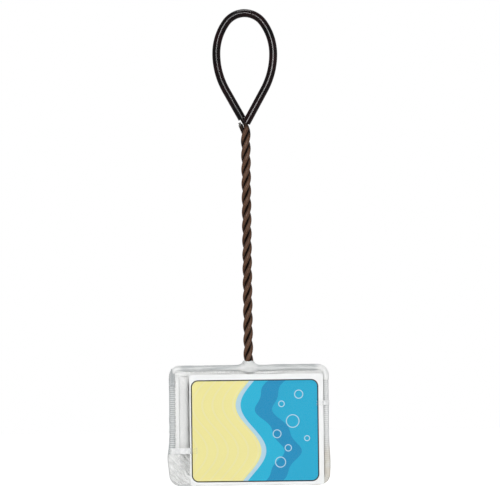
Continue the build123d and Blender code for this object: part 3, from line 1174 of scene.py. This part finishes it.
def bag_rings():
    """The bag's rings from its mouth to the middle of its back.

    Each has its half width and height, corner, drop, depth and how far it has turned into the back.
    """
    shoulder_count, wall_count, edge_count, back_count = 24, 20, 10, 24
    rings = []
    for i in range(shoulder_count + 1):
        share = i / shoulder_count
        depth = BAG_SHOULDER * share**3
        ripple = 0.18 * MM * math.sin(share * 7 * math.pi) * (1 - share) ** 0.5
        rings.append((*bag_wall(depth), max(depth + ripple, 0), 0.0))
    wall_end = BAG_DEPTH - BAG_EDGE
    for i in range(1, wall_count + 1):
        depth = BAG_SHOULDER + (wall_end - BAG_SHOULDER) * i / wall_count
        rings.append((*bag_wall(depth), depth, 0.0))
    half, high, corner, _ = bag_wall(wall_end)
    for i in range(1, edge_count + 1):
        angle = math.pi / 2 * i / edge_count
        inward = BAG_EDGE * 0.9 * (1 - math.cos(angle))
        depth = wall_end + BAG_EDGE * math.sin(angle)
        drop = BAG_SAG * depth / BAG_DEPTH
        rings.append((half - inward, high - inward, corner, drop, depth, i / edge_count))
    half, high, corner, drop, depth, _ = rings[-1]
    for i in range(1, back_count + 1):
        share = 1 - i / (back_count + 0.1)
        rings.append((half * share, high * share, corner * share, drop, depth, 1.0))
    return rings


def corner_fold(x, z, depth):
    """How far a fold that hangs from the hoop's upper left corner stands forward."""
    from_corner = Vector((x + HOOP_HALF - 3.8 * MM, z - HOOP_TOP + 3.0 * MM))
    way = Vector((0.62, -0.78))
    along, off = from_corner.dot(way), from_corner.x * way.y - from_corner.y * way.x
    reach = smooth(along / (2.5 * MM)) * (1 - smooth((along - 10 * MM) / (5 * MM)))
    return 1.3 * MM * reach * bump(off, 0.0, 1.5 * MM) * (1 - smooth((depth - 3 * MM) / (4 * MM)))


def bag_folds(cloth, share, depth):
    """How far the gathers behind the hems, and the broad folds and creases, stand out of the bag."""
    gathers = math.sin(2 * math.pi * 37 * share) + 0.7 * math.sin(2 * math.pi * 23 * share + 1.3)
    gathers *= cloth.gather_depth * math.exp(-depth / (20 * MM)) * smooth((depth - 2 * MM) / (5 * MM))
    broad = wander(share * 11, depth / (26 * MM), 4.2)
    broad += 0.5 * wander(share * 23, depth / (12 * MM), 8.1)
    crease = 1 - 5 * abs(wander(share * 9 + depth / (40 * MM), depth / (33 * MM), 1.7))
    broad = (broad + 0.45 * max(crease, 0)) * cloth.drape_depth * smooth(depth / (12 * MM))
    return gathers + broad


def bag_dent(cloth, x, z):
    """How deep the dents in the bag's back are at a place."""
    dent = wander(x / (24 * MM), z / (20 * MM), 3.3)
    dent += 0.5 * wander(x / (10 * MM), z / (9 * MM), 6.1)
    return dent * cloth.drape_depth


def bag_point(cloth, ring, share):
    """The point at a share of the way round one of the bag's rings, with its folds and sag."""
    half, high, corner, drop, depth, back = ring
    around = rounded_length(half, high, corner)
    x, z, way = rounded_place(half, high, corner, around * share)
    droop = smooth(depth / BAG_DEPTH * 1.3) * (1 - back)
    level = max(way[1], 0) * 2.2 * MM + max(-way[1], 0) * 1.6 * MM
    sag = level * droop * math.cos(math.pi * x / (2 * BAG_HALF)) ** 2
    out = bag_folds(cloth, share, depth) * (1 - back)
    up = z + HOOP_MIDDLE - drop + out * way[1] - sag
    point = Vector((x + out * way[0], depth + FLANGE_BACK, up))
    point.y += bag_dent(cloth, x, z) * back - corner_fold(point.x, point.z, depth)
    return point


def bag_mesh(cloth):
    """The whole bag as one sheet, with gathers behind the hems, broad folds and sag."""
    count = 300
    rows = [[bag_point(cloth, ring, i / count) for i in range(count)] for ring in bag_rings()]
    along = lengths([row[0] for row in rows])
    mouth = rounded_length(BAG_HALF, BAG_HIGH - HOOP_MIDDLE, 6 * MM)
    across = [mouth * i / count for i in range(count + 1)]
    return sheet_mesh("bag", rows, along, across, closed=True)


def seam_plane(side):
    """A point of the seam's plane and the way outward from it."""
    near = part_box("bag_main_panel")[1].x
    taper = 8 * MM / BAG_DEPTH
    return Vector((side * near, FLANGE_BACK, 0)), Vector((side, taper, 0)).normalized()


def cut_panel(whole, name, keep):
    """One panel of the bag: what lies inside the given planes."""
    shape = bmesh.new()
    shape.from_mesh(whole)
    for point, normal in keep:
        geometry = [*shape.verts, *shape.edges, *shape.faces]
        bmesh.ops.bisect_plane(
            shape, geom=geometry, dist=1e-7, plane_co=point, plane_no=normal, clear_outer=True
        )
    mesh = bpy.data.meshes.new(name)
    shape.to_mesh(mesh)
    shape.free()
    mesh.shade_smooth()
    lay_weave(mesh)
    return mesh


def lay_weave(mesh):
    """Lay the cloth's weave square on a mesh, face by face, with a UV map in metres."""
    places = mesh.uv_layers.active.data
    for face in mesh.polygons:
        facing = [abs(part) for part in face.normal]
        first, second = [axis for axis in (0, 1, 2) if axis != facing.index(max(facing))]
        for loop in face.loop_indices:
            point = mesh.vertices[mesh.loops[loop].vertex_index].co
            places[loop].uv = (point[first], point[second])


def seam_line(panel, point, normal):
    """The panel's edge on a seam's plane, from the top of the mouth, as places with the cloth's normals."""
    shape = bmesh.new()
    shape.from_mesh(panel)
    on_plane = {v for v in shape.verts if abs((v.co - point).dot(normal)) < 1e-6}
    at_mouth = [v for v in on_plane if v.co.y < FLANGE_BACK + 1 * MM]
    current = max(at_mouth, key=lambda v: v.co.z)
    line, seen = [], set()
    while current:
        line.append((current.co.copy(), current.normal.copy()))
        seen.add(current)
        ahead = [e.other_vert(current) for e in current.link_edges]
        current = next((v for v in ahead if v in on_plane and v not in seen), None)
    shape.free()
    least_step = 0.9 * MM
    even = line[:1]
    for place, cloth_normal in line[1:]:
        if (place - even[-1][0]).length > least_step:
            even.append((place, cloth_normal))
    return even


def seam_mesh(name, line):
    """An overlocked seam: a low ridge of wrapped thread along the line."""
    half_width, height, sunk = 1.25 * MM, 0.75 * MM, 0.05 * MM
    count_round = 8
    rows = []
    for i, (place, normal) in enumerate(line):
        ahead = line[min(i + 1, len(line) - 1)][0] - line[max(i - 1, 0)][0]
        side = ahead.normalized().cross(normal).normalized()
        row = []
        for j in range(count_round + 1):
            angle = math.pi * j / count_round
            rise = height * math.sin(angle) - sunk
            row.append(place + side * (half_width * math.cos(angle)) + normal * rise)
        rows.append(row)
    along = lengths([row[count_round // 2] for row in rows])
    return sheet_mesh(name, rows, along, lengths(rows[0]))


class FISHNET_OT_hang_bag(Operator):
    """Hang the mesh bag on its hems and sew its side seams"""

    bl_idname = "fish_net.hang_bag"
    bl_label = "Hang Bag"

    def execute(self, context):
        """Make the bag as one sagging sheet and cut it into its main panel and two gussets."""
        cloth = context.scene.fish_net_cloth
        finish = mesh_finish(cloth)
        thread = thread_finish(cloth, "overlock_thread", 1.1 * MM)
        whole = bag_mesh(cloth)
        left, right = seam_plane(-1), seam_plane(1)
        panels = {
            "main": ("bag_main_panel", [left, right], MAIN_FLAT),
            "left": ("bag_left_gusset", [(left[0], -left[1])], GUSSET_FLAT),
            "right": ("bag_right_gusset", [(right[0], -right[1])], GUSSET_FLAT),
        }
        meshes = {}
        for side, (node, planes, flat) in panels.items():
            name = f"bag_{side}_cloth"
            meshes[side] = cut_panel(whole, name, planes)
            piece = place_piece(name, meshes[side], finish, "bag_mesh", node)
        for side, plane in (("left", left), ("right", right)):
            line = seam_line(meshes["main"], *plane)
            name = f"bag_seam_{side}"
            place_piece(name, seam_mesh(name, line), thread, "nylon_thread", f"seam_{side}")
        bpy.data.meshes.remove(whole)
        return {"FINISHED"}


def gather_finish(cloth):
    """Bunched mesh: white strands over greyer layers, with painted shade along its rolled outer edge."""
    material, shader, sketch = new_finish(
        "bunched_mesh", Sheen_Weight=0.2, Specular_IOR_Level=0.08, Roughness=0.75
    )
    place = uv_place(sketch)
    across, along, _ = sketch.split(place)
    weave = sketch.group(woven_mesh(), place=place, pitch=cloth.mesh_pitch)
    wave = sketch.group(fine_grain(), place=place, grain_size=4 * MM, high=1.6 * MM)["Tone"]
    upward = sketch.math("MULTIPLY", along, 0.66)
    slant = sketch.math("SUBTRACT", sketch.math("MULTIPLY", across, 0.75), upward)
    strand = sketch.group(cross_ribs(), along=sketch.math("ADD", slant, wave), pitch=1.15 * MM)["Rib"]
    soil = sketch.group(fine_grain(), place=object_place(sketch), grain_size=3 * MM, low=0.4)["Tone"]
    grey = [0.6 * value for value in cloth.mesh_color[:3]] + [1]
    tone = sketch.math("MAXIMUM", strand, soil)
    # Painted shade: darker along the outer edge, where the cloth rolls round the hem.
    tone = sketch.math("MULTIPLY", tone, sketch.ramp(across, 0.6 * MM, 2.6 * MM, 0.35, 1.0))
    sketch.feed(shader["Base Color"], sketch.mix(tone, grey, cloth.mesh_color))
    height = sketch.math("ADD", strand, sketch.math("MULTIPLY", weave["Height"], 0.3))
    sketch.feed(shader["Normal"], sketch.bump(height, 0.1 * MM))
    return material


def gather_fold(x, z, inside, below_top):
    """How far the bunched cloth's slanting folds stand forward at a place."""
    slant = inside * 0.75 - below_top * 0.66
    drift = 2.2 * wander(x / (5 * MM), z / (6 * MM), 2.0)
    fold = 0.42 * MM * math.sin(2 * math.pi * slant / (2.6 * MM) + drift)
    return fold + 0.35 * MM * wander(x / (3 * MM), z / (4 * MM), 7.0)


def gather_mesh():
    """Bunched cloth that rolls round the hem from the left, covers it and goes behind the card."""
    card_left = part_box("insert_card")[0].x
    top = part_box("card_tape_left")[0].z - 0.1 * MM
    bottom = HOOP_BOTTOM - HEM_RADIUS + 0.1 * MM
    over_hem = HEM_RADIUS + 0.55 * MM
    turn = 7 * MM
    shallowest = -0.3 * MM
    count_up, count_across = 60, 48
    rows = []
    for r in range(count_up + 1):
        z = top + (bottom - top) * r / count_up
        above_hem = smooth((z - bottom - 5 * MM) / (4 * MM))
        near_bottom = max(bottom - 0.1 * MM + turn - z, 0.0)
        outer = -HOOP_HALF - HEM_RADIUS - corner_slack(-HOOP_HALF, z) - 0.2 * MM
        outer += turn - math.sqrt(max(turn**2 - near_bottom**2, 0))
        inner = card_left - 0.1 * MM + 2.6 * MM * above_hem
        row = []
        for c in range(count_across + 1):
            inside = (inner - outer) * c / count_across
            x = outer + inside
            fold = gather_fold(x, z, inside, top - z)
            if inside < 4.5 * MM or above_hem < 0.5:
                fold = max(fold, shallowest)
            back = smooth((inside - 7 * MM) / (6 * MM)) * (over_hem + 1.6 * MM) * above_hem
            roll = over_hem - math.sqrt(over_hem**2 - max(over_hem - inside, 0.0) ** 2)
            low = (1 - smooth((z - bottom) / (1.8 * MM))) * over_hem * 0.9
            forward = over_hem - max(back, roll, low) + fold * smooth(inside / (1.5 * MM))
            row.append(Vector((x, -forward, z)))
        rows.append(row)
    along = [(top - bottom) * r / count_up for r in range(count_up + 1)]
    return sheet_mesh("corner_gather", rows, along, lengths(rows[0]))


class FISHNET_OT_gather_corner(Operator):
    """Gather the spare cloth at the lower left corner of the hoop"""

    bl_idname = "fish_net.gather_corner"
    bl_label = "Gather Corner"

    def execute(self, context):
        """Make a small bunched sheet that covers the hem at the corner and goes behind the card."""
        finish = gather_finish(context.scene.fish_net_cloth)
        piece = place_piece("corner_gather", gather_mesh(), finish, "bag_mesh")
        return {"FINISHED"}


# Finishes on the frame's own nodes


class FISHNET_OT_coat_wire(Operator):
    """Coat the wire and its sleeve"""

    bl_idname = "fish_net.coat_wire"
    bl_label = "Coat Wire"

    def execute(self, context):
        """Finish the wire and the sleeve where the frame has them."""
        wire = context.scene.fish_net_wire
        finish_node("frame_wire", coated_wire_finish(wire))
        finish_node("grip_sleeve", sleeve_finish(wire))
        return {"FINISHED"}


class FISHNET_OT_print_card(Operator):
    """Print the card and finish the tape that holds it"""

    bl_idname = "fish_net.print_card"
    bl_label = "Print Card"

    def execute(self, context):
        """Finish the card and its two strips of tape where the frame has them."""
        finish_node("insert_card", card_finish(context.scene.fish_net_card))
        film = film_finish()
        for node in ("card_tape_left", "card_tape_right"):
            finish_node(node, film)
        return {"FINISHED"}


# Stage


def seen_rays(sketch):
    """1 for what the eye sees, straight or through gloss and glass, and 0 for plain light."""
    ray = sketch.node("ShaderNodeLightPath").outputs
    seen = sketch.math("MAXIMUM", ray["Is Camera Ray"], ray["Is Glossy Ray"])
    return sketch.math("MAXIMUM", seen, ray["Is Transmission Ray"])


def soft_light(name, place, aim, width, height, power):
    """A soft light with a flat front."""
    lamp = bpy.data.lights.new(name, "AREA")
    lamp.shape = "RECTANGLE"
    lamp.size = width
    lamp.size_y = height
    lamp.energy = power
    light = bpy.data.objects.new(name, lamp)
    bpy.context.scene.collection.objects.link(light)
    light.location = place
    light.rotation_euler = (Vector(aim) - Vector(place)).to_track_quat("-Z", "Y").to_euler()
    return light


class FISHNET_OT_set_stage(Operator):
    """Set the floor, the lights and the camera"""

    bl_idname = "fish_net.set_stage"
    bl_label = "Set Stage"

    def execute(self, context):
        """A pale floor well below the hanging net, soft light and a long lens in front."""
        stage = context.scene.fish_net_stage
        self.lay_floor(stage)
        self.light(context.scene, stage)
        self.aim_camera(context.scene, stage)
        context.scene.view_settings.view_transform = "Standard"
        return {"FINISHED"}

    def lay_floor(self, stage):
        """A pale floor that keeps the net's soft shadow."""
        low = CAD_BOX[0].z - stage.floor_drop
        far = 2
        corners = [(-far, -far, low), (far, -far, low), (far, far, low), (-far, far, low)]
        mesh = bpy.data.meshes.new("floor")
        mesh.from_pydata(corners, [], [(0, 1, 2, 3)])
        floor = bpy.data.objects.new("floor", mesh)
        bpy.context.scene.collection.objects.link(floor)
        floor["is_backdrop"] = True
        material, shader, sketch = new_finish("floor", Roughness=0.9, Specular_IOR_Level=0.1)
        shader["Base Color"].default_value = (0.9, 0.9, 0.9, 1)
        shader["Emission Color"].default_value = (1, 1, 1, 1)
        sketch.feed(shader["Emission Strength"], sketch.math("MULTIPLY", seen_rays(sketch), 0.62))
        mesh.materials.append(material)

    def light(self, scene, stage):
        """Even light, a key in front, a fill on the right, a light behind and two that only gloss shows."""
        world = bpy.data.worlds.new("studio")
        world.use_nodes = True
        scene.world = world
        sketch = NodeSketch(world.node_tree)
        backdrop = world.node_tree.nodes["Background"]
        backdrop.inputs["Color"].default_value = (1, 1, 1, 1)
        strength = sketch.ramp(seen_rays(sketch), 0.0, 1.0, stage.ambient, 1.0)
        sketch.feed(backdrop.inputs["Strength"], strength)
        net = (0, 0, -0.15)
        soft_light("key", (-0.2, -0.95, 0.36), net, 0.22, 1.3, stage.key_power)
        for name, place, aim, width, height in (
            ("shine", (0, -1.0, 0.085), (0, 0, 0.085), 0.5, 0.15),
            ("shine_above", (0, -0.12, 1.0), (0, 0, -0.03), 0.6, 0.12),
        ):
            shine = soft_light(name, place, aim, width, height, stage.shine_power)
            shine.visible_diffuse = False
            shine.visible_camera = False
        soft_light("fill", (0.9, -0.7, 0.1), net, 0.7, 0.7, stage.fill_power)
        soft_light("back", (0.45, 0.95, 0.5), net, 0.9, 0.9, stage.back_power)

    def aim_camera(self, scene, stage):
        """A camera level with the net's middle, with the net's lean in the picture."""
        lens = bpy.data.cameras.new("camera")
        lens.sensor_fit = "HORIZONTAL"
        lens.lens = lens.sensor_width * stage.distance / stage.field
        lens.clip_end = 20
        camera = bpy.data.objects.new("camera", lens)
        scene.collection.objects.link(camera)
        up = Vector((math.sin(stage.lean), 0, math.cos(stage.lean)))
        back = Vector((0, -1, 0))
        right = up.cross(back)
        turn = Matrix((right, up, back)).transposed().to_4x4()
        card_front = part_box("insert_card")[0].y
        picture_middle = (1.86 * MM, card_front - stage.distance, -148.1 * MM)
        camera.matrix_world = Matrix.Translation(picture_middle) @ turn
        scene.camera = camera


class FISHNET_PT_sidebar(Panel):
    """The steps that dress the net, in order"""

    bl_idname = "FISHNET_PT_sidebar"
    bl_label = "Fish Net"
    bl_space_type = "VIEW_3D"
    bl_region_type = "UI"
    bl_category = "Fish Net"

    def draw(self, context):
        """List the steps and their settings."""
        for step in STEPS:
            self.layout.operator(step.bl_idname)
        for name, group in SETTINGS.items():
            box = self.layout.box()
            for setting in group.__annotations__:
                box.prop(getattr(context.scene, name), setting)


SETTINGS = {
    "fish_net_wire": FishNetWireSettings,
    "fish_net_cloth": FishNetClothSettings,
    "fish_net_card": FishNetCardSettings,
    "fish_net_stage": FishNetStageSettings,
}
STEPS = [
    FISHNET_OT_set_stage,
    FISHNET_OT_coat_wire,
    FISHNET_OT_fold_hems,
    FISHNET_OT_sew_hems,
    FISHNET_OT_hang_bag,
    FISHNET_OT_gather_corner,
    FISHNET_OT_print_card,
]


def register():
    """Make the settings, the steps and the panel known to Blender."""
    for name, group in SETTINGS.items():
        bpy.utils.register_class(group)
        setattr(bpy.types.Scene, name, PointerProperty(type=group))
    for step in STEPS:
        bpy.utils.register_class(step)
    bpy.utils.register_class(FISHNET_PT_sidebar)


def unregister():
    """Take them out again."""
    bpy.utils.unregister_class(FISHNET_PT_sidebar)
    for step in reversed(STEPS):
        bpy.utils.unregister_class(step)
    for name, group in SETTINGS.items():
        delattr(bpy.types.Scene, name)
        bpy.utils.unregister_class(group)


def main():
    """Dress the net."""
    register()
    for step in STEPS:
        group, name = step.bl_idname.split(".")
        getattr(getattr(bpy.ops, group), name)()
    boxes = {"cad": CAD_BOX, "visual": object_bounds()}
    boxes = {name: [list(low), list(high)] for name, (low, high) in boxes.items()}


if __name__ == "__main__":
    main()
